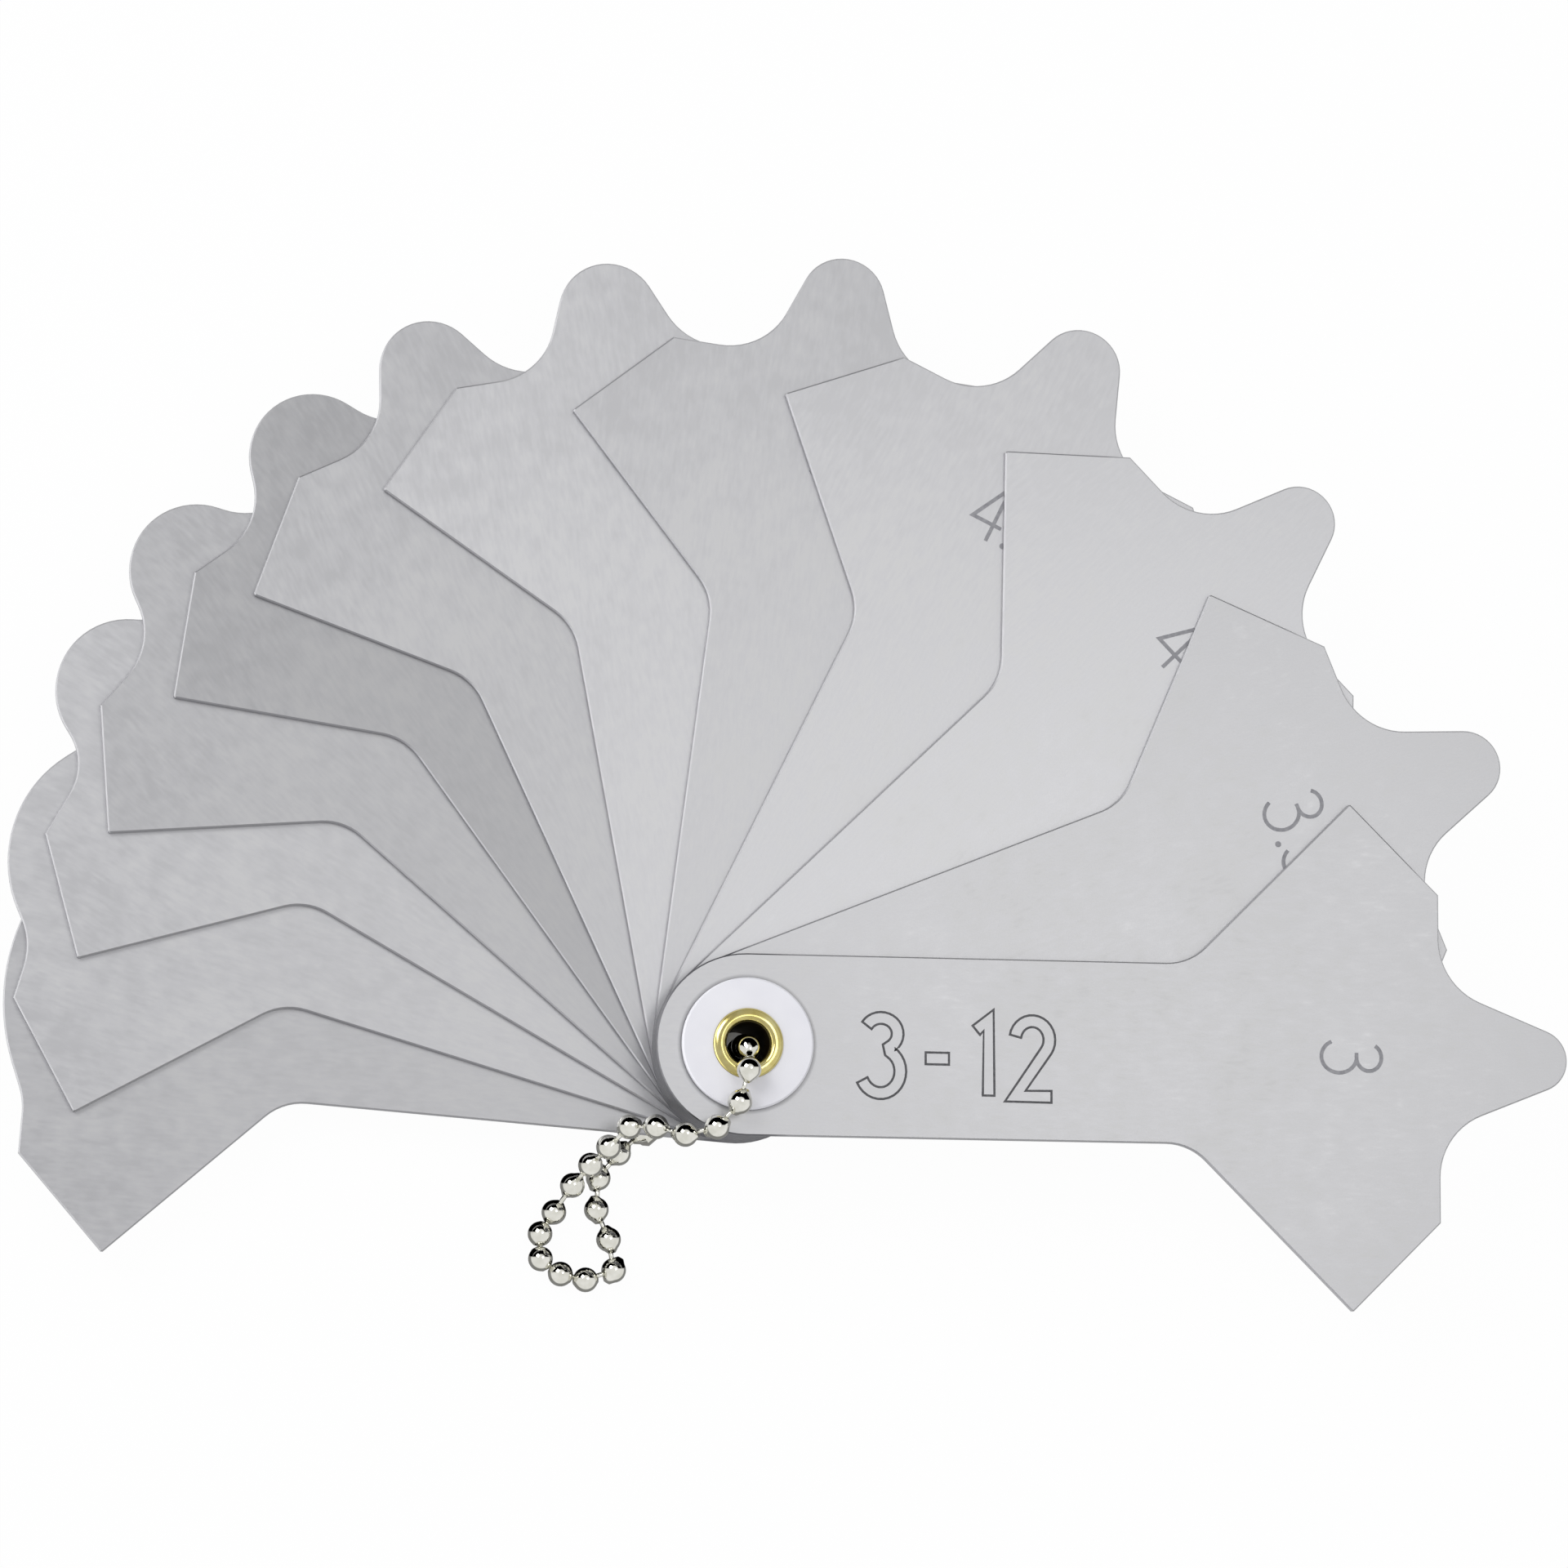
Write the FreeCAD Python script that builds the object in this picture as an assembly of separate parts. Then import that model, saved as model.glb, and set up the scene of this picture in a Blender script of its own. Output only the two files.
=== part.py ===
import FreeCAD, Part
import math
import os

# Fan-type weld seam gauge: twelve thin sheet blades on one hollow rivet, with a ball chain
# threaded through the rivet. Millimetres. The pivot axis is Z, the smallest blade lies on top
# and points along +X, and z = 0 is the foot of the rivet's back rim.

# Blade sheet and the running gaps between the blades. Punching leaves the front edges drawn in.
BLADE_THICKNESS = 0.6
BLADE_GAP = 0.04
EDGE_BREAK = 0.12

# Blade profile, the same on every blade apart from its nose
ARM_WIDTH = 16.0
CORNER_REACH = 54.0
HEAD_WIDTH = 45.2
BLUNT_NOSE = 2.6
FLARE_FILLET = 5.0
NOTCH_FILLET = 6.0
NOTCH_SHARE = 0.9
CORNER_BREAK = 0.1

# One row per blade, front to back: throat size, nose radius, flank half angle, rest angle
BLADES = [
    ("3", 3.0, 2.8, 22.0, 0.0),
    ("3_5", 3.5, 3.3, 20.0, 22.1),
    ("4", 4.0, 3.3, 20.0, 44.0),
    ("4_5", 4.5, 3.7, 20.5, 64.0),
    ("5", 5.0, 3.8, 21.5, 82.7),
    ("5_5", 5.5, 4.4, 23.0, 100.7),
    ("6", 6.0, 4.4, 24.0, 115.25),
    ("6_5", 6.5, 5.7, 23.0, 126.5),
    ("7", 7.0, 6.0, 24.0, 139.45),
    ("8", 8.0, 6.4, 27.0, 150.5),
    ("10", 10.0, 11.0, 50.0, 163.65),
    ("12", 12.0, 18.0, 68.0, 175.8),
]

# Hollow rivet, rolled over at both ends
RIVET_BORE = 3.8
RIVET_WALL = 0.35
RIM_DIAMETER = 6.2
RIM_THICKNESS = 0.4
RIM_ROLL = 0.15
MOUTH_FLARE = 0.4
PIVOT_CLEARANCE = 0.06

# Plastic washers under the two rims, with the edge softened on the side away from the blades
WASHER_DIAMETER = 11.6
WASHER_THICKNESS = 0.6
WASHER_EDGE = 0.15
WASHER_CLEARANCE = 0.05

# Ball chain: the solids are the plain envelope that its balls fill, with flat sides
BALL_DIAMETER = 2.2
ENVELOPE_SIDES = 5
CLASP_DIAMETER = 2.6
CLASP_LENGTH = 6.2
CLASP_END_BREAK = 0.4
CLASP_SLOT_WIDTH = 0.7
CLASP_SLOT_DEPTH = 0.35
CLASP_SLOT_LENGTH = 4.0
CLASP_UNDER_GAUGE = 0.45
CLASP_LEAD_IN = 2.7
RIM_CLEARANCE = 0.3
WASHER_CLEAR_HEIGHT = 0.4
ARC_SHARE = 0.45

# Heights that follow from the stack
BACK_WASHER_Z = RIM_THICKNESS
BLADE_PITCH = BLADE_THICKNESS + BLADE_GAP
LOWEST_BLADE_Z = BACK_WASHER_Z + WASHER_THICKNESS + BLADE_GAP
FRONT_WASHER_Z = LOWEST_BLADE_Z + len(BLADES) * BLADE_PITCH
FRONT_RIM_Z = FRONT_WASHER_Z + WASHER_THICKNESS
RIVET_HEIGHT = FRONT_RIM_Z + RIM_THICKNESS
BARREL_RADIUS = RIVET_BORE / 2 + RIVET_WALL
PIVOT_HOLE_RADIUS = BARREL_RADIUS + PIVOT_CLEARANCE

# Heights of the chain's centre line, over the front rim and on the table
BALL_RADIUS = BALL_DIAMETER / 2
CLASP_Z = -CLASP_UNDER_GAUGE - CLASP_DIAMETER / 2
TABLE_Z = CLASP_Z - CLASP_DIAMETER / 2
CHAIN_Z = TABLE_Z + BALL_RADIUS
MID_BORE_Z = RIVET_HEIGHT / 2
OVER_RIM_Z = RIVET_HEIGHT + BALL_RADIUS + RIM_CLEARANCE
OVER_WASHER_Z = FRONT_RIM_Z + BALL_RADIUS + WASHER_CLEAR_HEIGHT

# Where the clasp lies under the gauge, on a straight line to the back mouth of the rivet
CLASP_FAR = FreeCAD.Vector(-8.4, -7.4, CLASP_Z)
CLASP_AXIS = FreeCAD.Vector(-CLASP_FAR.x, -CLASP_FAR.y, 0).normalize()
CLASP_NEAR = CLASP_FAR + CLASP_AXIS * CLASP_LENGTH

# The chain from the middle of the bore, out of the front and round to the clasp
FRONT_ROUTE = [
    FreeCAD.Vector(0.0, 0.0, MID_BORE_Z),
    FreeCAD.Vector(0.0, 0.0, OVER_RIM_Z),
    FreeCAD.Vector(-0.7, -5.0, OVER_WASHER_Z),
    FreeCAD.Vector(-3.0, -8.0, 10.5),
    FreeCAD.Vector(-5.6, -8.3, 8.7),
    FreeCAD.Vector(-8.0, -6.9, 6.4),
    FreeCAD.Vector(-10.0, -6.9, 4.3),
    FreeCAD.Vector(-11.3, -8.7, 2.2),
    FreeCAD.Vector(-13.6, -11.0, -0.8),
    FreeCAD.Vector(-15.5, -13.9, CHAIN_Z),
    FreeCAD.Vector(-17.1, -16.0, CHAIN_Z),
    FreeCAD.Vector(-16.9, -18.3, CHAIN_Z),
    FreeCAD.Vector(-15.0, -19.7, CHAIN_Z),
    FreeCAD.Vector(-13.3, -20.5, CHAIN_Z),
    FreeCAD.Vector(-11.0, -20.0, CHAIN_Z),
    FreeCAD.Vector(-9.9, -17.7, CHAIN_Z),
    FreeCAD.Vector(-11.7, -14.2, CHAIN_Z),
    FreeCAD.Vector(-11.9, -11.2, CHAIN_Z),
    CLASP_FAR - CLASP_AXIS * CLASP_LEAD_IN,
    CLASP_FAR,
]

# The chain from the clasp up into the back of the bore
BACK_ROUTE = [
    CLASP_NEAR,
    FreeCAD.Vector(0.0, 0.0, CLASP_Z),
    FreeCAD.Vector(0.0, 0.0, MID_BORE_Z),
]


def rounded_loop(corners):
    """A closed wire through corners given as (x, y, radius). Without a radius a corner is sharp."""
    points = [FreeCAD.Vector(x, y, 0) for x, y, radius in corners]
    count = len(points)
    bends = []
    for i, corner in enumerate(points):
        radius = corners[i][2]
        if radius == 0:
            bends.append([corner])
            continue
        to_last = (points[i - 1] - corner).normalize()
        to_next = (points[(i + 1) % count] - corner).normalize()
        half = to_last.getAngle(to_next) / 2
        bisector = (to_last + to_next).normalize()
        start = corner + to_last * (radius / math.tan(half))
        end = corner + to_next * (radius / math.tan(half))
        middle = corner + bisector * (radius / math.sin(half) - radius)
        bends.append([start, middle, end])
    edges = []
    for i, bend in enumerate(bends):
        last_end = bends[i - 1][-1]
        if (bend[0] - last_end).Length > 1e-6:
            edges.append(Part.LineSegment(last_end, bend[0]).toShape())
        if len(bend) == 3:
            edges.append(Part.Arc(*bend).toShape())
    return Part.Wire(edges)


def blade_corners(throat, nose_radius, flank_angle):
    """The blade's outline: tail, arm, 45 degree head corners, notches and the graded nose."""
    arm = ARM_WIDTH / 2
    head = HEAD_WIDTH / 2
    # The two 45 degree legs meet in a square corner ahead of the nose: the nose stops short
    # of that corner by the throat size. The bluntest nose still stands ahead of the shoulders.
    root_of_weld = CORNER_REACH + head
    shoulder_y = BLADES[-1][1] + BLUNT_NOSE
    shoulder_x = root_of_weld - shoulder_y
    nose_centre = root_of_weld - throat - nose_radius
    flank = math.radians(flank_angle)
    apex = nose_centre + nose_radius / math.sin(flank)
    notch_y = (apex - shoulder_x) * math.tan(flank)
    # The notch's fillet takes at most its share of the flank that the nose leaves straight.
    straight = (apex - shoulder_x) / math.cos(flank) - nose_radius / math.tan(flank)
    widest_fillet = NOTCH_SHARE * straight * math.tan((math.pi / 2 + flank) / 2)
    upper = [
        (shoulder_x, notch_y, min(NOTCH_FILLET, widest_fillet)),
        (shoulder_x, shoulder_y, 0),
        (CORNER_REACH + CORNER_BREAK, head - CORNER_BREAK, 0),
        (CORNER_REACH - CORNER_BREAK, head - CORNER_BREAK, 0),
        (CORNER_REACH - (head - arm), arm, FLARE_FILLET),
        (-arm, arm, arm),
    ]
    lower = [(x, -y, radius) for x, y, radius in reversed(upper)]
    return [(apex, 0.0, nose_radius)] + upper + lower


def blade(index):
    """One sheet blade at its place in the fan, with its front edges broken and its pivot hole."""
    label, throat, nose_radius, flank_angle, rest_angle = BLADES[index]
    outline = rounded_loop(blade_corners(throat, nose_radius, flank_angle))
    sheet = Part.Face(outline).extrude(FreeCAD.Vector(0, 0, BLADE_THICKNESS))
    front_rims = [e for e in sheet.Edges if e.BoundBox.ZMin > BLADE_THICKNESS / 2]
    sheet = sheet.makeChamfer(EDGE_BREAK, front_rims)
    hole = Part.makeCylinder(PIVOT_HOLE_RADIUS, BLADE_THICKNESS)
    sheet = sheet.cut(hole)
    level = LOWEST_BLADE_Z + (len(BLADES) - 1 - index) * BLADE_PITCH
    sheet.rotate(FreeCAD.Vector(0, 0, 0), FreeCAD.Vector(0, 0, 1), rest_angle)
    sheet.translate(FreeCAD.Vector(0, 0, level))
    return sheet


def rivet():
    """The hollow rivet: a barrel whose two ends are rolled outwards into rims."""
    bore = RIVET_BORE / 2
    rim = RIM_DIAMETER / 2
    top = RIVET_HEIGHT
    profile = [
        (bore, MOUTH_FLARE),
        (bore, top - MOUTH_FLARE),
        (bore + MOUTH_FLARE, top),
        (rim - RIM_ROLL, top),
        (rim, top - RIM_ROLL),
        (rim, FRONT_RIM_Z),
        (BARREL_RADIUS, FRONT_RIM_Z),
        (BARREL_RADIUS, RIM_THICKNESS),
        (rim, RIM_THICKNESS),
        (rim, RIM_ROLL),
        (rim - RIM_ROLL, 0),
        (bore + MOUTH_FLARE, 0),
    ]
    points = [FreeCAD.Vector(r, 0, z) for r, z in profile]
    face = Part.Face(Part.makePolygon(points + points[:1]))
    return face.revolve(FreeCAD.Vector(0, 0, 0), FreeCAD.Vector(0, 0, 1), 360)


def washer(level, outside):
    """A flat plastic washer at a height. Its softened edge is at its outside height, 0 or full."""
    inner = BARREL_RADIUS + WASHER_CLEARANCE
    outer = WASHER_DIAMETER / 2
    ring = Part.makeCylinder(outer, WASHER_THICKNESS)
    rims = [e for e in ring.Edges if abs(e.BoundBox.Center.z - outside) < 1e-6]
    ring = ring.makeChamfer(WASHER_EDGE, rims)
    ring = ring.cut(Part.makeCylinder(inner, WASHER_THICKNESS))
    ring.translate(FreeCAD.Vector(0, 0, level))
    return ring


def envelope_section(centre, direction):
    """A many-sided wire about a centre, square to a direction, its corners a ball's radius out."""
    across = direction.cross(FreeCAD.Vector(1, 0, 0)).normalize()
    upward = direction.cross(across).normalize()
    corners = []
    for i in range(ENVELOPE_SIDES):
        angle = 2 * math.pi * i / ENVELOPE_SIDES
        reach = across * math.cos(angle) + upward * math.sin(angle)
        corners.append(centre + reach * BALL_RADIUS)
    return Part.makePolygon(corners + corners[:1])


def chain_run(name, route):
    """The envelope along a route of straight runs joined by tangent arcs."""
    section = envelope_section(route[0], route[1] - route[0])
    area = Part.Face(section).Area
    faces = [Part.Face(section)]
    radii = []
    length = 0
    last_end = route[0]
    for before, corner, after in zip(route, route[1:], route[2:]):
        to_last = before - corner
        to_next = after - corner
        tangent = ARC_SHARE * min(to_last.Length, to_next.Length)
        half = to_last.getAngle(to_next) / 2
        radius = tangent * math.tan(half)
        turn = math.pi - 2 * half
        to_last.normalize()
        to_next.normalize()
        run = corner + to_last * tangent - last_end
        centre = corner + (to_last + to_next).normalize() * (radius / math.sin(half))
        axis = to_next.cross(to_last).normalize()
        faces += section.extrude(run).Faces
        section.translate(run)
        faces += section.revolve(centre, axis, math.degrees(turn)).Faces
        section.rotate(centre, axis, math.degrees(turn))
        radii.append(radius)
        length += run.Length + radius * turn
        last_end = corner + to_next * tangent
    run = route[-1] - last_end
    faces += section.extrude(run).Faces
    section.translate(run)
    faces.append(Part.Face(section))
    length += run.Length
    shell = Part.Shell(faces)
    shell.sewShape()
    solid = Part.Solid(shell)
    print(name, "length %.1f, volume share %.4f" % (length, solid.Volume / (area * length)))
    print(name, "bend radii", ["%.1f" % radius for radius in radii])
    return solid


def clasp():
    """The chain's coupling: a short round sleeve with a snap slot along its top."""
    sleeve = Part.makeCylinder(CLASP_DIAMETER / 2, CLASP_LENGTH)
    rims = [e for e in sleeve.Edges if e.BoundBox.ZLength < 1e-6]
    sleeve = sleeve.makeChamfer(CLASP_END_BREAK, rims)
    slot = Part.makeBox(CLASP_SLOT_DEPTH, CLASP_SLOT_WIDTH, CLASP_SLOT_LENGTH)
    slot.translate(
        FreeCAD.Vector(
            CLASP_DIAMETER / 2 - CLASP_SLOT_DEPTH,
            -CLASP_SLOT_WIDTH / 2,
            (CLASP_LENGTH - CLASP_SLOT_LENGTH) / 2,
        )
    )
    sleeve = sleeve.cut(slot)
    # Lay the sleeve along its line with the slot upwards.
    up = FreeCAD.Vector(0, 0, 1)
    turn = FreeCAD.Rotation(up, FreeCAD.Vector(), CLASP_AXIS, "ZXY")
    sleeve.Placement = FreeCAD.Placement(CLASP_FAR, turn)
    return sleeve


def main():
    os.makedirs("parts", exist_ok=True)
    solids = {"blade_" + row[0]: blade(i) for i, row in enumerate(BLADES)}
    solids["rivet"] = rivet()
    solids["front_washer"] = washer(FRONT_WASHER_Z, WASHER_THICKNESS)
    solids["back_washer"] = washer(BACK_WASHER_Z, 0)
    solids["chain_front_run"] = chain_run("chain_front_run", FRONT_ROUTE)
    solids["chain_back_run"] = chain_run("chain_back_run", BACK_ROUTE)
    solids["chain_clasp"] = clasp()
    for name, shape in solids.items():
        if not shape.isValid():
            raise ValueError(name + " isn't a valid solid")
        shape.exportStep("parts/" + name + ".step")


main()
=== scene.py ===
import math

import bmesh
import bpy
from mathutils import Euler, Matrix, Vector


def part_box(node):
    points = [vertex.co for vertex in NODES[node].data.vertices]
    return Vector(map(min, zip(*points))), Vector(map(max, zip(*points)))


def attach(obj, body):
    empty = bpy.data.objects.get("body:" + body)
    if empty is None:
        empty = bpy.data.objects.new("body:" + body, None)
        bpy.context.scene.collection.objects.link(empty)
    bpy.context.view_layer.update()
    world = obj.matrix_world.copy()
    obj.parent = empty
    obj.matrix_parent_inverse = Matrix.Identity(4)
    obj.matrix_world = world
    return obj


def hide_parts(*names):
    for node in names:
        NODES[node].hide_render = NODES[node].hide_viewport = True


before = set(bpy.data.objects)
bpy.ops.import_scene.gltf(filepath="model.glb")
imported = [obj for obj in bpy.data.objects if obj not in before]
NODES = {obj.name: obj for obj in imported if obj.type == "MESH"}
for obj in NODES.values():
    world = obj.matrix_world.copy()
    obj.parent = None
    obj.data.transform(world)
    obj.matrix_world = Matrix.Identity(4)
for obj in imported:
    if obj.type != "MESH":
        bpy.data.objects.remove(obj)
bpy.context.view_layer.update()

# The looks of a fan-type weld seam gauge: satin aluminium blades with engraved sizes, a rolled
# brass rivet, plastic washers and a nickel ball chain. Lengths are in millimetres times MM.
MM = 0.001

BLADES = ["3", "3.5", "4", "4.5", "5", "5.5", "6", "6.5", "7", "8", "10", "12"]
REST_ANGLES = [0, 22.1, 44, 64, 82.7, 100.7, 115.25, 126.5, 139.45, 150.5, 163.65, 175.8]

# Painted shade: how much lighter or darker each blade's sheet is drawn, standing in for how the
# light falls across the fan
PAINTED_BLADE_SHADES = [0.98, 1.0, 1.07, 1.05, 0.99, 1.04, 0.92, 0.76, 0.86, 0.96, 0.96, 0.89]

# Engraved figures: cap height, figure width and stroke as on the front blade
FIGURE_HEIGHT = 5.5
FIGURE_WIDTH = 2.9
FIGURE_GAP = 0.55
FIGURE_STROKE = 0.34
POINT_DIAMETER = 0.56
FIGURE_REACH = 53.9
ENGRAVING_RISE = 0.012
ENGRAVING_ROOT = 0.03
STROKE_STEP = 0.008

# Blades whose figures sit off the head's middle: across it as they read, and towards the nose
FIGURE_SHIFTS = {
    "3": (0.15, 0.1), "3.5": (0.4, -0.2), "4": (0.3, -0.25),
    "4.5": (0.8, -0.7), "5": (0.6, 0.0), "5.5": (2.6, 0.0),
}

# Size range engraved along the front blade's arm, as open outlined figures
RANGE_START = 10.2
RANGE_BASELINE = -4.1
RANGE_SCALE = 1.22
RANGE_GAP = 1.7
RANGE_HALF_BODY = 0.52
RANGE_STROKE = 0.2

# Hollow rivet and its rolled rims
RIVET_BORE = 3.8
RIVET_RIM = 6.2
RIM_THICKNESS = 0.4
BARREL_DIAMETER = 4.5
MOUTH_WIDTH = 0.5
MOUTH_DEPTH = 0.55
MOUTH_END = 96

# Ball chain. Its pins are drawn out where it hangs, and slide into the balls in the fold.
BALL_DIAMETER = 2.2
BALL_TIP = 0.16
TIP_LIP = 0.06
TIP_GIVE = 0.03
BALL_HOLE = 0.6
SHELL_SPREAD = 56
PIN_DIAMETER = 0.42
FIRST_BALL = 4.35
DRAWN_BALLS = 10
DRAWN_PITCH = 3.0
FOLDED_BALLS = 4
FOLDED_PITCH = 2.27
HIDDEN_BALLS = 13
CLASP_LENGTH = 6.2
CLASP_LEAD_IN = 2.7

# How finely round forms are drawn: degrees to an arc's step, and sides to a turned form
ARC_STEP = 12
RIVET_SIDES = 96
BALL_SIDES = 32
SMALL_SIDES = 12


def mm(x, y, z):
    return Vector((x, y, z)) * MM


# The chain's route, from the middle of the bore out of the front and round to the clasp
RIVET_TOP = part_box("rivet")[1].z
MID_BORE = Vector((0, 0, RIVET_TOP / 2))
FLOOR_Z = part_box("chain_clasp")[0].z
CHAIN_Z = FLOOR_Z / MM + BALL_DIAMETER / 2
CLASP_LOW, CLASP_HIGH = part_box("chain_clasp")
CLASP_Z = (CLASP_LOW.z + CLASP_HIGH.z) / 2 / MM
CLASP_FAR = mm(-8.4, -7.4, CLASP_Z)
CLASP_AXIS = Vector((8.4, 7.4, 0)).normalized()
CLASP_NEAR = CLASP_FAR + CLASP_AXIS * CLASP_LENGTH * MM
CHAIN_ROUTE = [
    MID_BORE,
    mm(0.1, 0.3, 11.12),
    mm(-0.4, -5.1, 10.82),
    mm(-3.2, -8.1, 10.5),
    mm(-6.5, -8.1, 8.7),
    mm(-9.3, -6.4, 6.4),
    mm(-11.2, -8.4, 4.3),
    mm(-12.3, -9.7, 2.2),
    mm(-13.6, -10.9, 0.1),
    mm(-14.6, -12.5, -1.4),
    mm(-15.7, -14.2, CHAIN_Z),
    mm(-17.1, -16.2, CHAIN_Z),
    mm(-17.0, -18.2, CHAIN_Z),
    mm(-15.7, -19.4, CHAIN_Z),
    mm(-13.9, -19.8, CHAIN_Z),
    mm(-12.5, -20.1, CHAIN_Z),
    mm(-10.8, -20.0, CHAIN_Z),
    mm(-9.9, -18.5, CHAIN_Z),
    mm(-10.8, -16.3, CHAIN_Z),
    mm(-11.8, -14.4, CHAIN_Z),
    mm(-12.1, -12.4, CHAIN_Z),
    mm(-11.8, -10.9, CHAIN_Z),
    CLASP_FAR - CLASP_AXIS * CLASP_LEAD_IN * MM,
    CLASP_FAR,
    CLASP_NEAR,
    mm(0, 0, CLASP_Z),
    MID_BORE,
]


def linear(code, share=1.0):
    """An sRGB hex colour as the linear colour that the shaders take, or a share of it."""
    channels = [int(code[i:i + 2], 16) / 255 for i in (1, 3, 5)]
    made = [c / 12.92 if c <= 0.04045 else ((c + 0.055) / 1.055) ** 2.4 for c in channels]
    return (*(c * share for c in made), 1.0)


def add(tree, kind, inputs=None, **settings):
    """Adds a node with its settings. Each input is a value, or the socket that feeds it."""
    made = tree.nodes.new(kind)
    for name, value in settings.items():
        setattr(made, name, value)
    for name, value in (inputs or {}).items():
        if isinstance(value, bpy.types.NodeSocket):
            tree.links.new(value, made.inputs[name])
        else:
            made.inputs[name].default_value = value
    return made


def blank_material(name):
    made = bpy.data.materials.new(name)
    made.use_nodes = True
    made.node_tree.nodes.clear()
    return made


def ramp(tree, factor, stops, share=1.0):
    """A colour ramp from (place, hex colour) pairs."""
    made = add(tree, "ShaderNodeValToRGB", {"Fac": factor})
    elements = made.color_ramp.elements
    while len(elements) < len(stops):
        elements.new(1.0)
    for element, (place, code) in zip(elements, stops):
        element.position = place
        element.color = linear(code, share)
    return made.outputs["Color"]


def finish_material(made, shader):
    add(made.node_tree, "ShaderNodeOutputMaterial", {"Surface": shader.outputs["BSDF"]})
    return made


def off_axis(tree, place):
    """How far a place is from the rivet's axis."""
    level = add(tree, "ShaderNodeVectorMath", {
        0: place, 1: (1, 1, 0),
    }, operation="MULTIPLY").outputs["Vector"]
    return add(tree, "ShaderNodeVectorMath", {0: level}, operation="LENGTH").outputs["Value"]


def steepness(tree, steep, flat):
    """1 where a face's normal has an upward part below steep, down to 0 where it is over flat."""
    normal = add(tree, "ShaderNodeNewGeometry").outputs["Normal"]
    up = add(tree, "ShaderNodeSeparateXYZ", {"Vector": normal}).outputs["Z"]
    flatness = add(tree, "ShaderNodeMath", {0: up}, operation="ABSOLUTE").outputs["Value"]
    return add(tree, "ShaderNodeMapRange", {
        "Value": flatness, "From Min": steep, "From Max": flat, "To Min": 1.0, "To Max": 0.0,
    }).outputs["Result"]


def satin_aluminium(name, rest_angle, painted_shade, washer_shadow):
    """Rolled and tumbled aluminium sheet: an even satin grey with a fine mottle, faint rolling
    lines along the blade, and a duller grey on the cut edges, partly the punched edge itself and
    partly painted shade for the dark lines round each blade. The tails' edges by the rivet are
    painted darker still, as painted shade between the stacked tails. On the two outer blades a
    dark ring is painted round the washer as its painted contact shadow."""
    cloud_mm, mottle_mm, grain_mm = 14.0, 1.8, 0.35
    line_stretch = 4
    tail_mm, tail_shade_end_mm = 8.1, 8.8
    made = blank_material(name)
    tree = made.node_tree
    place = add(tree, "ShaderNodeTexCoord").outputs["Object"]
    turned_back = add(tree, "ShaderNodeMapping", {
        "Vector": place, "Rotation": (0, 0, -math.radians(rest_angle)),
    }).outputs["Vector"]
    along = add(tree, "ShaderNodeMapping", {
        "Vector": turned_back, "Scale": (1 / line_stretch, 1, 1),
    }).outputs["Vector"]
    cloud = add(tree, "ShaderNodeTexNoise", {
        "Vector": turned_back, "Scale": 1 / (cloud_mm * MM), "Detail": 2.0,
    }).outputs["Fac"]
    mottle = add(tree, "ShaderNodeTexNoise", {
        "Vector": turned_back, "Scale": 1 / (mottle_mm * MM), "Detail": 3.0,
    }).outputs["Fac"]
    rolling = add(tree, "ShaderNodeTexNoise", {
        "Vector": along, "Scale": 1 / (grain_mm * MM), "Detail": 2.0,
    }).outputs["Fac"]
    mixed = add(tree, "ShaderNodeMath", {0: mottle, 1: rolling}, operation="ADD").outputs["Value"]
    mixed = add(tree, "ShaderNodeMath", {0: mixed, 1: cloud}, operation="ADD").outputs["Value"]
    share = add(tree, "ShaderNodeMath", {0: mixed, 1: 3.0}, operation="DIVIDE").outputs["Value"]
    stops = [(0.4, "#C7C7C8"), (0.5, "#CCCCCD"), (0.6, "#D1D1D1")]
    # The face colour is scaled by the blade's painted shade
    face = ramp(tree, share, stops, painted_shade)
    # The steep cut edges are drawn a duller grey: partly the real punched edge, partly painted
    # shade for the dark lines round each blade
    edge = steepness(tree, 0.75, 0.98)
    away = off_axis(tree, place)
    # Painted shade: the cut edges close round the rivet are drawn dark, standing in for the shade
    # between the stacked tails
    painted_tail_shade = add(tree, "ShaderNodeMapRange", {
        "Value": away, "From Min": tail_mm * MM, "From Max": tail_shade_end_mm * MM,
        "To Min": 1.0, "To Max": 0.0,
    }).outputs["Result"]
    # Edge colours: a duller grey that is partly painted shade, and a dark grey near the rivet that
    # is painted shade
    rim = add(tree, "ShaderNodeMix", {
        0: painted_tail_shade, 6: linear("#B8B8BA"), 7: linear("#77777A"),
    }, data_type="RGBA").outputs[2]
    colour = add(tree, "ShaderNodeMix", {
        0: edge, 6: face, 7: rim,
    }, data_type="RGBA").outputs[2]
    # Painted shade: the washer's contact shadow as a dark ring
    if washer_shadow:
        colour = painted_washer_shadow(tree, away, colour)
    roughness = add(tree, "ShaderNodeMapRange", {
        "Value": mixed, "From Min": 1.0, "From Max": 2.0, "To Min": 0.38, "To Max": 0.5,
    }).outputs["Result"]
    bump = add(tree, "ShaderNodeBump", {
        "Height": share, "Strength": 0.12, "Distance": 0.02 * MM,
    }).outputs["Normal"]
    shader = add(tree, "ShaderNodeBsdfPrincipled", {
        "Base Color": colour, "Roughness": roughness, "Normal": bump, "Metallic": 1.0,
    })
    return finish_material(made, shader)


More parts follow.
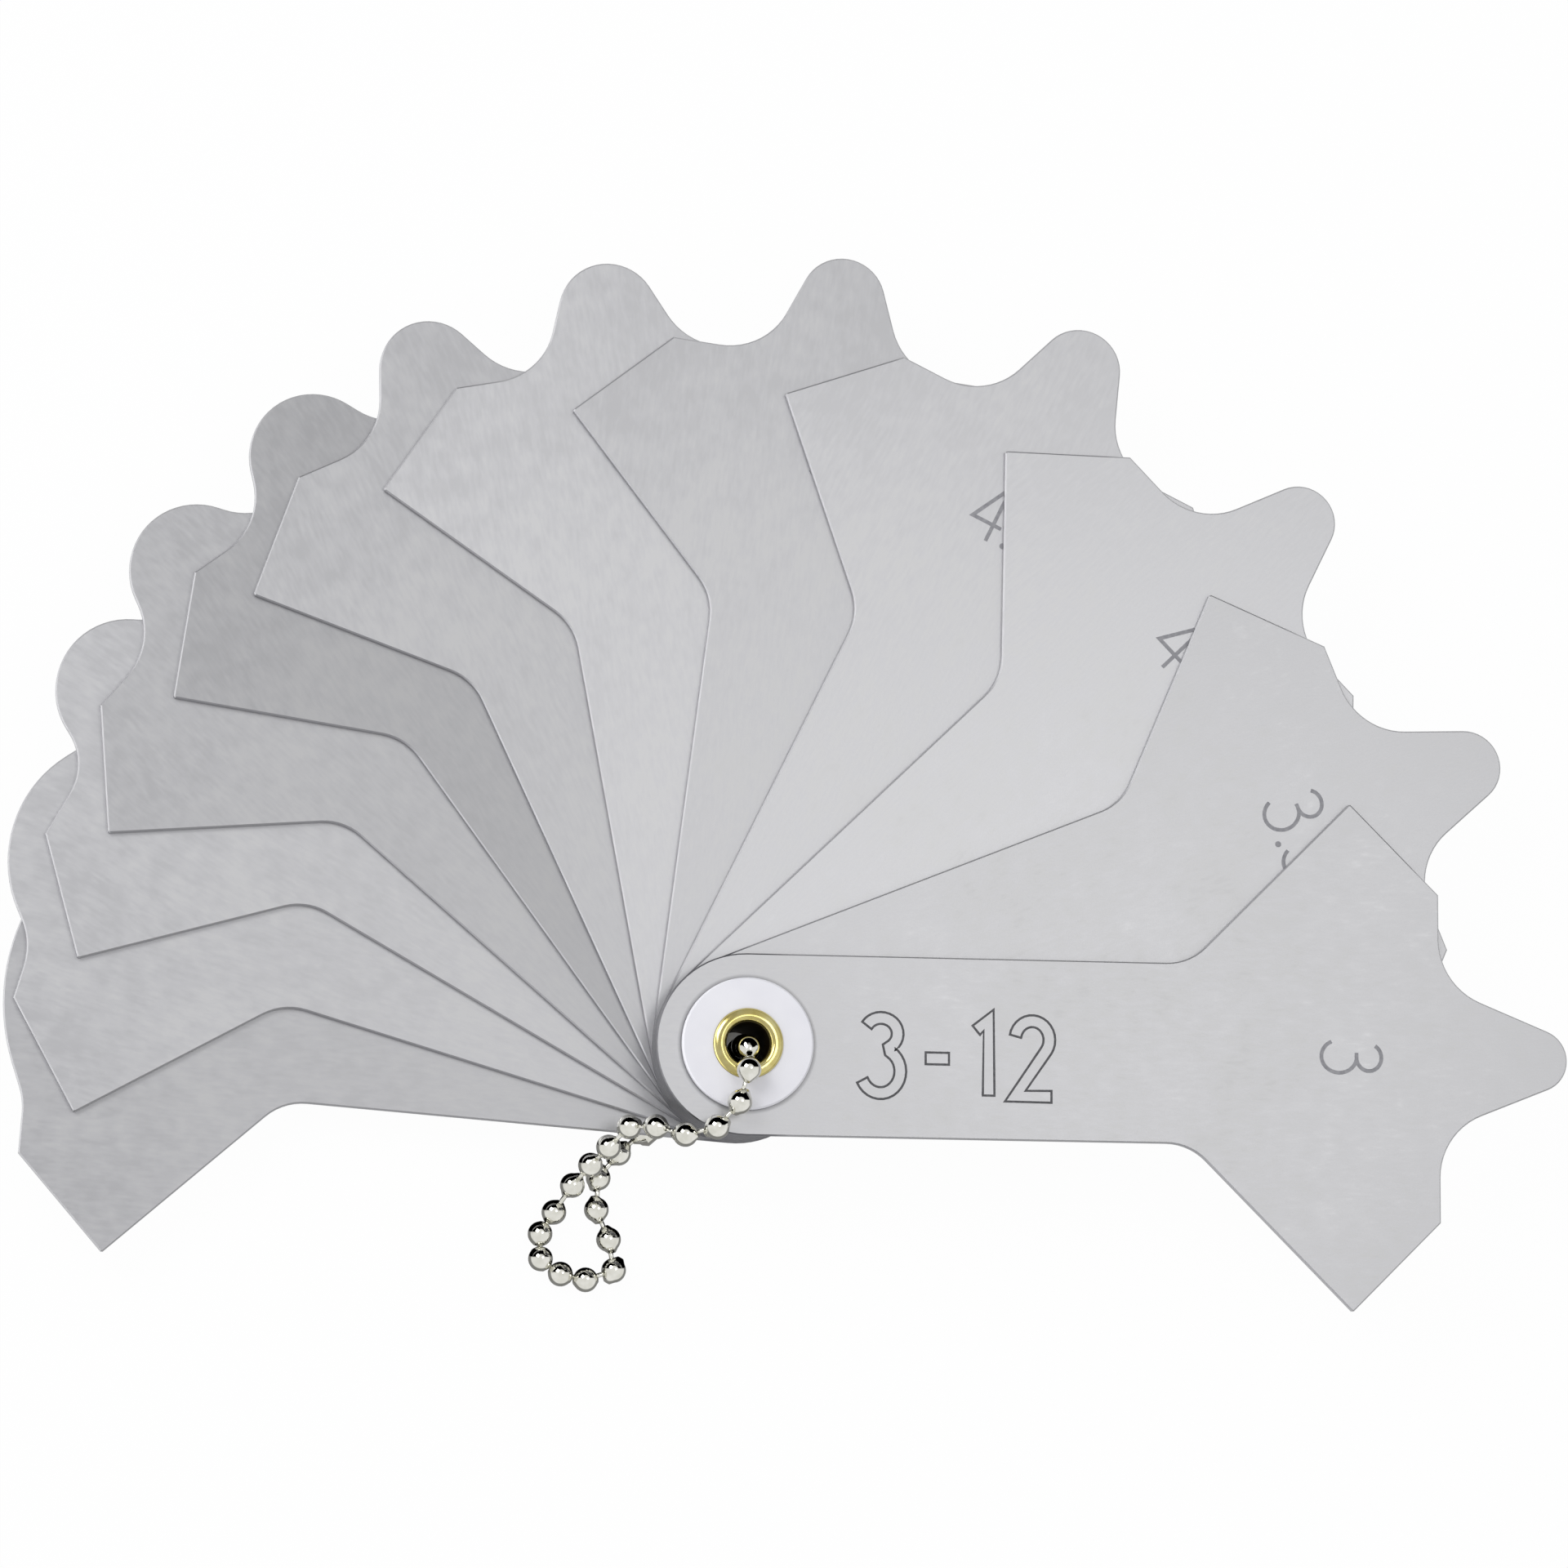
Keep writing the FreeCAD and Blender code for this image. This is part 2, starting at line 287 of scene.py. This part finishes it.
def painted_washer_shadow(tree, away, colour):
    """Paints the washer's contact shadow on the sheet: a dark ring close round the washer's edge.
    """
    inner_mm, outer_mm, dark_share = 5.85, 6.2, 0.5
    dark = add(tree, "ShaderNodeMapRange", {
        "Value": away, "From Min": inner_mm * MM, "From Max": outer_mm * MM,
        "To Min": dark_share, "To Max": 0.0,
    }).outputs["Result"]
    return add(tree, "ShaderNodeMix", {
        0: dark, 6: colour, 7: linear("#4C4C50"),
    }, data_type="RGBA").outputs[2]


def etched_line(name, speck_mm, dark, light):
    """Laser-etched aluminium: a matt grey line, slightly uneven in depth."""
    made = blank_material(name)
    tree = made.node_tree
    place = add(tree, "ShaderNodeTexCoord").outputs["Object"]
    speck = add(tree, "ShaderNodeTexNoise", {
        "Vector": place, "Scale": 1 / (speck_mm * MM), "Detail": 2.0,
    }).outputs["Fac"]
    colour = ramp(tree, speck, [(0.3, dark), (0.7, light)])
    shader = add(tree, "ShaderNodeBsdfPrincipled", {
        "Base Color": colour, "Roughness": 0.7,
    })
    return finish_material(made, shader)


def rolled_brass():
    """Drawn and rolled brass: pale yellow, polished by the roll, and dull down in the bore, where
    it is drawn nearly black as painted shade in the hollow."""
    stain_mm, scratch_mm = 1.4, 0.25
    dull = 0.75
    made = blank_material("rolled_brass")
    tree = made.node_tree
    place = add(tree, "ShaderNodeTexCoord").outputs["Object"]
    stain = add(tree, "ShaderNodeTexNoise", {
        "Vector": place, "Scale": 1 / (stain_mm * MM), "Detail": 3.0,
    }).outputs["Fac"]
    scratch = add(tree, "ShaderNodeTexNoise", {
        "Vector": place, "Scale": 1 / (scratch_mm * MM), "Detail": 2.0,
    }).outputs["Fac"]
    bright = ramp(tree, stain, [(0.3, "#D3C274"), (0.55, "#E2D48C"), (0.75, "#EEE4A6")])
    bore = steepness(tree, 0.05, 0.6)
    # Painted shade: the steep bore walls are drawn nearly black
    colour = add(tree, "ShaderNodeMix", {
        0: bore, 6: bright, 7: linear("#2E2412"),
    }, data_type="RGBA").outputs[2]
    polished = add(tree, "ShaderNodeMapRange", {
        "Value": scratch, "From Min": 0.3, "From Max": 0.7, "To Min": 0.13, "To Max": 0.2,
    }).outputs["Result"]
    roughness = add(tree, "ShaderNodeMix", {0: bore, 2: polished, 3: dull}).outputs[0]
    shader = add(tree, "ShaderNodeBsdfPrincipled", {
        "Base Color": colour, "Roughness": roughness, "Metallic": 1.0,
    })
    return finish_material(made, shader)


def moulded_nylon():
    """Moulded nylon: white with a faint lilac cast, a dull skin and a fine moulded grain."""
    grain_mm, cast_mm = 0.25, 4.0
    made = blank_material("moulded_nylon")
    tree = made.node_tree
    place = add(tree, "ShaderNodeTexCoord").outputs["Object"]
    cast = add(tree, "ShaderNodeTexNoise", {
        "Vector": place, "Scale": 1 / (cast_mm * MM), "Detail": 2.0,
    }).outputs["Fac"]
    grain = add(tree, "ShaderNodeTexNoise", {
        "Vector": place, "Scale": 1 / (grain_mm * MM), "Detail": 2.0,
    }).outputs["Fac"]
    colour = ramp(tree, cast, [(0.35, "#F0F0F5"), (0.65, "#F6F6FA")])
    bump = add(tree, "ShaderNodeBump", {
        "Height": grain, "Strength": 0.1, "Distance": 0.01 * MM,
    }).outputs["Normal"]
    shader = add(tree, "ShaderNodeBsdfPrincipled", {
        "Base Color": colour, "Roughness": 0.42, "Normal": bump, "IOR": 1.53,
    })
    return finish_material(made, shader)


def plated_nickel():
    """Bright nickel plate on the chain's balls: a clean mirror, a little warm, faintly rippled
    where the plate has followed the drawn brass under it."""
    smear_mm, ripple_mm = 0.9, 0.6
    made = blank_material("plated_nickel")
    tree = made.node_tree
    place = add(tree, "ShaderNodeTexCoord").outputs["Object"]
    smear = add(tree, "ShaderNodeTexNoise", {
        "Vector": place, "Scale": 1 / (smear_mm * MM), "Detail": 2.0,
    }).outputs["Fac"]
    ripple = add(tree, "ShaderNodeTexNoise", {
        "Vector": place, "Scale": 1 / (ripple_mm * MM), "Detail": 1.0,
    }).outputs["Fac"]
    colour = ramp(tree, smear, [(0.35, "#D2D1C8"), (0.65, "#E0DFD8")])
    bump = add(tree, "ShaderNodeBump", {
        "Height": ripple, "Strength": 0.08, "Distance": 0.05 * MM,
    }).outputs["Normal"]
    shader = add(tree, "ShaderNodeBsdfPrincipled", {
        "Base Color": colour, "Roughness": 0.0, "Normal": bump, "Metallic": 1.0,
    })
    return finish_material(made, shader)


def dress(obj, material):
    obj.data.materials.clear()
    obj.data.materials.append(material)


def mesh_object(name, form, material, smooth=False):
    """Turns a bmesh into an object with its material."""
    bmesh.ops.recalc_face_normals(form, faces=form.faces)
    data = bpy.data.meshes.new(name)
    form.to_mesh(data)
    form.free()
    for face in data.polygons:
        face.use_smooth = smooth
    made = bpy.data.objects.new(name, data)
    bpy.context.scene.collection.objects.link(made)
    dress(made, material)
    return made


def ellipse(cx, cy, rx, ry, start, end):
    """Points round an ellipse from one angle to another, in degrees."""
    steps = max(2, round(abs(end - start) / ARC_STEP))
    made = []
    for i in range(steps + 1):
        angle = math.radians(start + (end - start) * i / steps)
        made.append((cx + rx * math.cos(angle), cy + ry * math.sin(angle)))
    return made


# Each figure as the strokes of an engraving tool, in millimetres from its lower left corner
FIGURES = {
    "0": [ellipse(1.45, 2.75, 1.35, 2.7, 90, 450)],
    "1": [[(0.7, 4.6), (1.6, 5.45), (1.6, 0)]],
    "2": [ellipse(1.4, 4.1, 1.25, 1.35, 170, -35) + [(0.15, 0), (2.8, 0)]],
    "3": [
        ellipse(1.3, 1.62, 1.45, 1.6, -155, 82) + [(0.95, 3.2)],
        ellipse(1.35, 4.32, 1.2, 1.13, -80, 150),
    ],
    "4": [[(2.15, 0), (2.15, 5.4)], [(2.15, 5.4), (0.1, 1.6), (2.95, 1.6)]],
    "5": [[(2.6, 5.45), (0.6, 5.45), (0.4, 3.1)] + ellipse(1.3, 1.75, 1.5, 1.72, 125, -150)],
    "6": [ellipse(2.65, 1.7, 2.5, 3.75, 98, 180), ellipse(1.45, 1.7, 1.3, 1.68, 180, 540)],
    "7": [[(0.15, 5.45), (2.8, 5.45), (1.1, 0)]],
    "8": [
        ellipse(1.45, 4.2, 1.1, 1.22, -90, 270),
        ellipse(1.45, 1.5, 1.35, 1.48, 90, 450),
    ],
}
OPEN_THREE = ellipse(1.3, 1.62, 1.45, 1.6, -155, 60) + ellipse(1.35, 4.32, 1.2, 1.13, -60, 150)
RANGE_TEXT = [
    (OPEN_THREE, 2.9),
    ([(0.3, 2.6), (2.0, 2.6)], 2.3),
    ([(0.3, 4.7), (1.2, 5.45), (1.2, 0)], 1.6),
    (FIGURES["2"][0], 2.9),
]


def side_points(line, closed, offset):
    """The points of a line moved sideways, mitred at the corners."""
    count = len(line)
    made = []
    for i, point in enumerate(line):
        before = line[i - 1] if closed or i > 0 else None
        after = line[(i + 1) % count] if closed or i < count - 1 else None
        into = (point - before).normalized() if before else (after - point).normalized()
        out = (after - point).normalized() if after else into
        across = Vector((-(into.y + out.y), into.x + out.x))
        across.normalize()
        square = Vector((-into.y, into.x))
        made.append(point + across * (offset / max(0.5, across.dot(square))))
    return made


def engrave(form, line, closed, stroke, top):
    """Adds one engraved stroke as a thin closed ribbon, sunk in the sheet and just proud of it."""
    half = stroke / 2
    left = side_points(line, closed, half)
    right = side_points(line, closed, -half)
    heights = (top - ENGRAVING_ROOT, top + ENGRAVING_RISE)
    rings = []
    for a, b in zip(left, right):
        corners = ((a, heights[1]), (b, heights[1]), (b, heights[0]), (a, heights[0]))
        rings.append([form.verts.new(mm(p.x, p.y, z)) for p, z in corners])
    count = len(rings)
    for i in range(count if closed else count - 1):
        first, second = rings[i], rings[(i + 1) % count]
        for k in range(4):
            n = (k + 1) % 4
            form.faces.new((first[k], first[n], second[n], second[k]))
    if not closed:
        form.faces.new(rings[0])
        form.faces.new(reversed(rings[-1]))


def engrave_dot(form, middle, top):
    """Adds an engraved decimal point."""
    radius = POINT_DIAMETER / 2 * MM
    low, high = (top - ENGRAVING_ROOT) * MM, (top + ENGRAVING_RISE) * MM
    profile = [(0, low), (radius, low), (radius, high), (0, high)]
    turned_form(form, profile, mm(middle.x, middle.y, 0), Vector((0, 0, 1)), SMALL_SIDES)


def trimmed(line):
    """Splits off a repeated last point, and says if the line is closed."""
    points = [Vector(p) for p in line]
    closed = (points[0] - points[-1]).length < 1e-6
    return (points[:-1] if closed else points), closed


def placed(points, origin, angle, scale=1.0):
    turn = Matrix.Rotation(angle, 2)
    return [origin + turn @ (p * scale) for p in points]


def blade_number(label, rest_angle, material):
    """The size engraved across a blade's head, its top towards the nose."""
    node = "blade_" + label.replace(".", "_")
    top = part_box(node)[1].z / MM
    width = sum(FIGURE_GAP if c == "." else FIGURE_WIDTH for c in label)
    width += FIGURE_GAP * (len(label) - 1)
    angle = math.radians(rest_angle) - math.pi / 2
    turn = Matrix.Rotation(angle, 2)
    centre = Matrix.Rotation(math.radians(rest_angle), 2) @ Vector((FIGURE_REACH, 0))
    centre += turn @ Vector(FIGURE_SHIFTS.get(label, (0, 0)))
    form = bmesh.new()
    pen = -width / 2
    for character in label:
        start = centre + turn @ Vector((pen, -FIGURE_HEIGHT / 2))
        if character == ".":
            engrave_dot(form, start + turn @ Vector((FIGURE_GAP / 2, POINT_DIAMETER / 2)), top)
            pen += FIGURE_GAP * 2
            continue
        for level, stroke in enumerate(FIGURES[character]):
            points, closed = trimmed(stroke)
            outline = placed(points, start, angle)
            engrave(form, outline, closed, FIGURE_STROKE, top + level * STROKE_STEP)
        pen += FIGURE_WIDTH + FIGURE_GAP
    made = mesh_object("number_" + label.replace(".", "_"), form, material)
    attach(made, node)


def size_range(material):
    """The gauge's plain size range, in outlined figures along the front blade's arm."""
    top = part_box("blade_3")[1].z / MM
    form = bmesh.new()
    pen = RANGE_START
    for stroke, width in RANGE_TEXT:
        points = [Vector(p) * RANGE_SCALE for p in stroke]
        left = side_points(points, False, RANGE_HALF_BODY)
        right = side_points(points, False, -RANGE_HALF_BODY)
        outline = left + list(reversed(right))
        outline = placed(outline, Vector((pen, RANGE_BASELINE)), 0)
        engrave(form, outline, True, RANGE_STROKE, top)
        pen += width * RANGE_SCALE + RANGE_GAP
    made = mesh_object("size_range", form, material)
    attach(made, "blade_3")


def turned_form(form, profile, origin, axis, sides, closed=False):
    """Adds a turned shape: a profile of (radius, distance along) carried round an axis."""
    turn = axis.normalized().to_track_quat("Z", "Y")
    rings = []
    for radius, along in profile:
        if radius < 1e-9:
            rings.append([form.verts.new(origin + turn @ Vector((0, 0, along)))])
            continue
        ring = []
        for i in range(sides):
            angle = 2 * math.pi * i / sides
            spoke = Vector((radius * math.cos(angle), radius * math.sin(angle), along))
            ring.append(form.verts.new(origin + turn @ spoke))
        rings.append(ring)
    pairs = list(zip(rings, rings[1:]))
    if closed:
        pairs.append((rings[-1], rings[0]))
    for first, second in pairs:
        for i in range(sides):
            n = (i + 1) % sides
            if len(first) == 1:
                form.faces.new((first[0], second[i], second[n]))
            elif len(second) == 1:
                form.faces.new((first[i], first[n], second[0]))
            else:
                form.faces.new((first[i], first[n], second[n], second[i]))


def rolled_rivet(material):
    """The hollow rivet with truly round rolled rims and mouths, in place of the CAD node."""
    bore, rim, barrel = RIVET_BORE / 2, RIVET_RIM / 2, BARREL_DIAMETER / 2
    height = RIVET_TOP / MM
    crown = bore + MOUTH_WIDTH
    mouth = ellipse(crown, height - MOUTH_DEPTH, MOUTH_WIDTH, MOUTH_DEPTH, 180, MOUTH_END)
    roll = ellipse(crown, height - RIM_THICKNESS, rim - crown, RIM_THICKNESS, 90, 0)
    half = mouth + roll + [(barrel, height - RIM_THICKNESS)]
    other = [(r, height - z) for r, z in reversed(half)]
    profile = [(r * MM, z * MM) for r, z in half + other]
    form = bmesh.new()
    turned_form(form, profile, Vector(), Vector((0, 0, 1)), RIVET_SIDES, closed=True)
    made = mesh_object("rolled_rivet", form, material, smooth=True)
    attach(made, "root")
    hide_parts("rivet")


def smooth_line(points):
    """The points of the smooth line that a route's points steer."""
    data = bpy.data.curves.new("chain_line", "CURVE")
    data.dimensions = "3D"
    spline = data.splines.new("NURBS")
    spline.points.add(len(points) - 1)
    for slot, point in zip(spline.points, points):
        slot.co = (*point, 1)
    spline.order_u = 3
    spline.use_endpoint_u = True
    spline.resolution_u = 16
    holder = bpy.data.objects.new("chain_line", data)
    bpy.context.scene.collection.objects.link(holder)
    bpy.context.view_layer.update()
    mesh = bpy.data.meshes.new_from_object(holder)
    made = [v.co.copy() for v in mesh.vertices]
    bpy.data.objects.remove(holder)
    bpy.data.meshes.remove(mesh)
    return made


def point_along(line, distance):
    """The point at a distance along a line of points."""
    for a, b in zip(line, line[1:]):
        step = (b - a).length
        if distance <= step:
            return a.lerp(b, distance / step)
        distance -= step
    return line[-1].copy()


def ball_places(line):
    """Where the balls' centres lie, from the first one in the mouth of the rivet, all round."""
    length = sum((b - a).length for a, b in zip(line, line[1:])) / MM
    steps = [DRAWN_PITCH] * DRAWN_BALLS + [FOLDED_PITCH] * FOLDED_BALLS
    steps += [(length - sum(steps)) / HIDDEN_BALLS] * (HIDDEN_BALLS - 1)
    places = [FIRST_BALL]
    for step in steps:
        places.append(places[-1] + step)
    return [point_along(line, (place % length) * MM) for place in places]


def ball_chain(material):
    """Hollow balls joined by short pins, along the route through the rivet and the clasp."""
    line = smooth_line(CHAIN_ROUTE)
    centres = ball_places(line)
    radius = BALL_DIAMETER / 2
    shell = ellipse(0, 0, radius, radius, -SHELL_SPREAD, SHELL_SPREAD)
    hole = BALL_HOLE / 2
    form = bmesh.new()
    for i, centre in enumerate(centres):
        before = centres[i - 1]
        after = centres[(i + 1) % len(centres)]
        room = min((centre - before).length, (after - centre).length) / 2 / MM
        # Where the chain is folded, the tips stop halfway to the next ball
        tip = max(radius - TIP_GIVE, min(radius + BALL_TIP, room))
        end = [(hole, tip), (hole - TIP_LIP, tip), (0, tip - BALL_TIP / 2)]
        half = [(r, -along) for r, along in reversed(end)]
        profile = [(r * MM, along * MM) for r, along in half + shell + end]
        turned_form(form, profile, centre, after - before, BALL_SIDES)
        pin = after - centre
        thin = PIN_DIAMETER / 2 * MM
        profile = [(0, 0), (thin, 0), (thin, pin.length), (0, pin.length)]
        turned_form(form, profile, centre, pin, SMALL_SIDES)
    made = mesh_object("ball_chain", form, material, smooth=True)
    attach(made, "root")
    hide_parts("chain_front_run", "chain_back_run")


def floor_material():
    """A white sweep that keeps the object's shade but shows as plain white. Under the rivet, and
    for reflections all round the gauge, it shows as the shaded surface that it is. The balls'
    sharp reflections pass it, and show the studio alone."""
    shown_share = 0.97
    seen_mm, mirrored_mm = (5, 7.4), (20, 80)
    made = blank_material("white_sweep")
    tree = made.node_tree
    away = off_axis(tree, add(tree, "ShaderNodeNewGeometry").outputs["Position"])
    path = add(tree, "ShaderNodeLightPath")
    shares = []
    for ray, (near_mm, far_mm) in (
        ("Is Camera Ray", seen_mm),
        ("Is Transmission Ray", seen_mm),
        ("Is Glossy Ray", mirrored_mm),
    ):
        clear = add(tree, "ShaderNodeMapRange", {
            "Value": away, "From Min": near_mm * MM, "From Max": far_mm * MM,
            "To Min": 0.0, "To Max": shown_share,
        }).outputs["Result"]
        share = add(tree, "ShaderNodeMath", {0: path.outputs[ray], 1: clear}, operation="MULTIPLY")
        shares.append(share.outputs["Value"])
    amount = add(tree, "ShaderNodeMath", {0: shares[0], 1: shares[1]}, operation="MAXIMUM")
    amount = add(tree, "ShaderNodeMath", {
        0: amount.outputs["Value"], 1: shares[2],
    }, operation="MAXIMUM").outputs["Value"]
    matt = add(tree, "ShaderNodeBsdfDiffuse", {"Color": linear("#F2F2F2")}).outputs["BSDF"]
    glow = add(tree, "ShaderNodeEmission", {"Color": (1, 1, 1, 1), "Strength": 1.0})
    mixed = add(tree, "ShaderNodeMixShader", {
        0: amount, 1: matt, 2: glow.outputs["Emission"],
    }).outputs["Shader"]
    clear = add(tree, "ShaderNodeBsdfTransparent").outputs["BSDF"]
    mixed = add(tree, "ShaderNodeMixShader", {
        0: path.outputs["Is Singular Ray"], 1: mixed, 2: clear,
    }).outputs["Shader"]
    add(tree, "ShaderNodeOutputMaterial", {"Surface": mixed})
    return made


def grey(value):
    return (value, value, value, 1)


def studio_sky():
    """A tent of light, brighter to the east and south and duller towards the ground, with a
    window low in the west. The mirror-bright balls show it as even white, with the black flag
    that stands behind the gauge."""
    world = bpy.data.worlds.new("studio_sky")
    world.use_nodes = True
    tree = world.node_tree
    tree.nodes.clear()
    way = add(tree, "ShaderNodeTexCoord").outputs["Generated"]
    east, north, up = add(tree, "ShaderNodeSeparateXYZ", {"Vector": way}).outputs

    def step(value, start, end, low, high):
        return add(tree, "ShaderNodeMapRange", {
            "Value": value, "From Min": start, "From Max": end, "To Min": low, "To Max": high,
        }).outputs["Result"]

    def blend(share, first, second):
        return add(tree, "ShaderNodeMix", {
            0: share, 6: first, 7: second,
        }, data_type="RGBA").outputs[2]

    side = blend(step(east, -0.15, 0.4, 0.0, 1.0), (0.49, 0.49, 0.525, 1), grey(0.7))
    depth = step(north, -0.2, 0.5, 1.1, 0.85)
    overhead = add(tree, "ShaderNodeVectorMath", {
        0: side, "Scale": depth,
    }, operation="SCALE").outputs["Vector"]
    horizon = blend(step(east, -0.9, -0.55, 1.0, 0.0), grey(0.36), grey(2.8))
    tent = blend(step(up, 0.1, 0.5, 0.0, 1.0), horizon, overhead)
    flag = add(tree, "ShaderNodeMath", {
        0: step(north, 0.18, 0.26, 0.0, 1.0), 1: step(up, 0.74, 0.81, 1.0, 0.0),
    }, operation="MULTIPLY").outputs["Value"]
    flag = add(tree, "ShaderNodeMath", {
        0: flag, 1: step(up, -0.95, -0.85, 0.0, 1.0),
    }, operation="MULTIPLY").outputs["Value"]
    sharp = blend(step(up, -0.35, -0.15, 0.0, 1.0), grey(0.28), grey(1.0))
    sharp = blend(flag, sharp, grey(0.0))
    path = add(tree, "ShaderNodeLightPath")
    sky = blend(path.outputs["Is Singular Ray"], tent, sharp)
    shown = blend(path.outputs["Is Camera Ray"], sky, grey(1.0))
    back = add(tree, "ShaderNodeBackground", {"Color": shown, "Strength": 1.0})
    add(tree, "ShaderNodeOutputWorld", {"Surface": back.outputs["Background"]})
    bpy.context.scene.world = world


def studio():
    """A white floor under the gauge, the sky, and two soft lamps: one high to the north-west,
    and one that the middle and right of the fan mirror softly to the camera."""
    form = bmesh.new()
    reach = 1500 * MM
    corners = [form.verts.new((x, y, FLOOR_Z)) for x, y in (
        (-reach, -reach), (reach, -reach), (reach, reach), (-reach, reach),
    )]
    form.faces.new(corners)
    floor = mesh_object("floor", form, floor_material())
    studio_sky()

    softbox("far_softbox", mm(-280, 220, 400), 250 * MM, 0.85)
    softbox("near_softbox", mm(106, 44, 400), 120 * MM, 0.105)


def softbox(name, place, size, power):
    """A square lamp that faces the rivet."""
    lamp = bpy.data.lights.new(name, "AREA")
    lamp.shape = "SQUARE"
    lamp.size = size
    lamp.energy = power
    box = bpy.data.objects.new(name, lamp)
    box.location = place
    box.rotation_euler = (-box.location).to_track_quat("-Z", "Y").to_euler()
    bpy.context.scene.collection.objects.link(box)


def camera():
    """Where the photograph was taken from, nearly overhead and a little to the lower left."""
    data = bpy.data.cameras.new("camera")
    data.sensor_width = 36
    data.lens = 160.1
    data.clip_start = 10 * MM
    made = bpy.data.objects.new("camera", data)
    made.location = mm(-84.9, -66.35, 608.7)
    made.rotation_euler = Euler([math.radians(a) for a in (8.344, -8.388, 0.2855)])
    bpy.context.scene.collection.objects.link(made)
    bpy.context.scene.camera = made


def main():
    bpy.context.scene.view_settings.view_transform = "Standard"
    for label, rest_angle, painted_shade in zip(BLADES, REST_ANGLES, PAINTED_BLADE_SHADES):
        name = label.replace(".", "_")
        # The two outer blades carry the washer's painted contact shadow
        washer_shadow = label in (BLADES[0], BLADES[-1])
        sheet = satin_aluminium("satin_aluminium_" + name, rest_angle, painted_shade, washer_shadow)
        dress(NODES["blade_" + name], sheet)
    nylon = moulded_nylon()
    dress(NODES["front_washer"], nylon)
    dress(NODES["back_washer"], nylon)
    nickel = plated_nickel()
    dress(NODES["chain_clasp"], nickel)
    rolled_rivet(rolled_brass())
    ball_chain(nickel)
    etching = etched_line("laser_etched_aluminium", 0.4, "#8A8A8E", "#9E9EA1")
    for label, rest_angle in zip(BLADES, REST_ANGLES):
        blade_number(label, rest_angle, etching)
    size_range(etched_line("deep_etched_aluminium", 0.3, "#4A4A4C", "#626264"))
    studio()
    camera()


main()
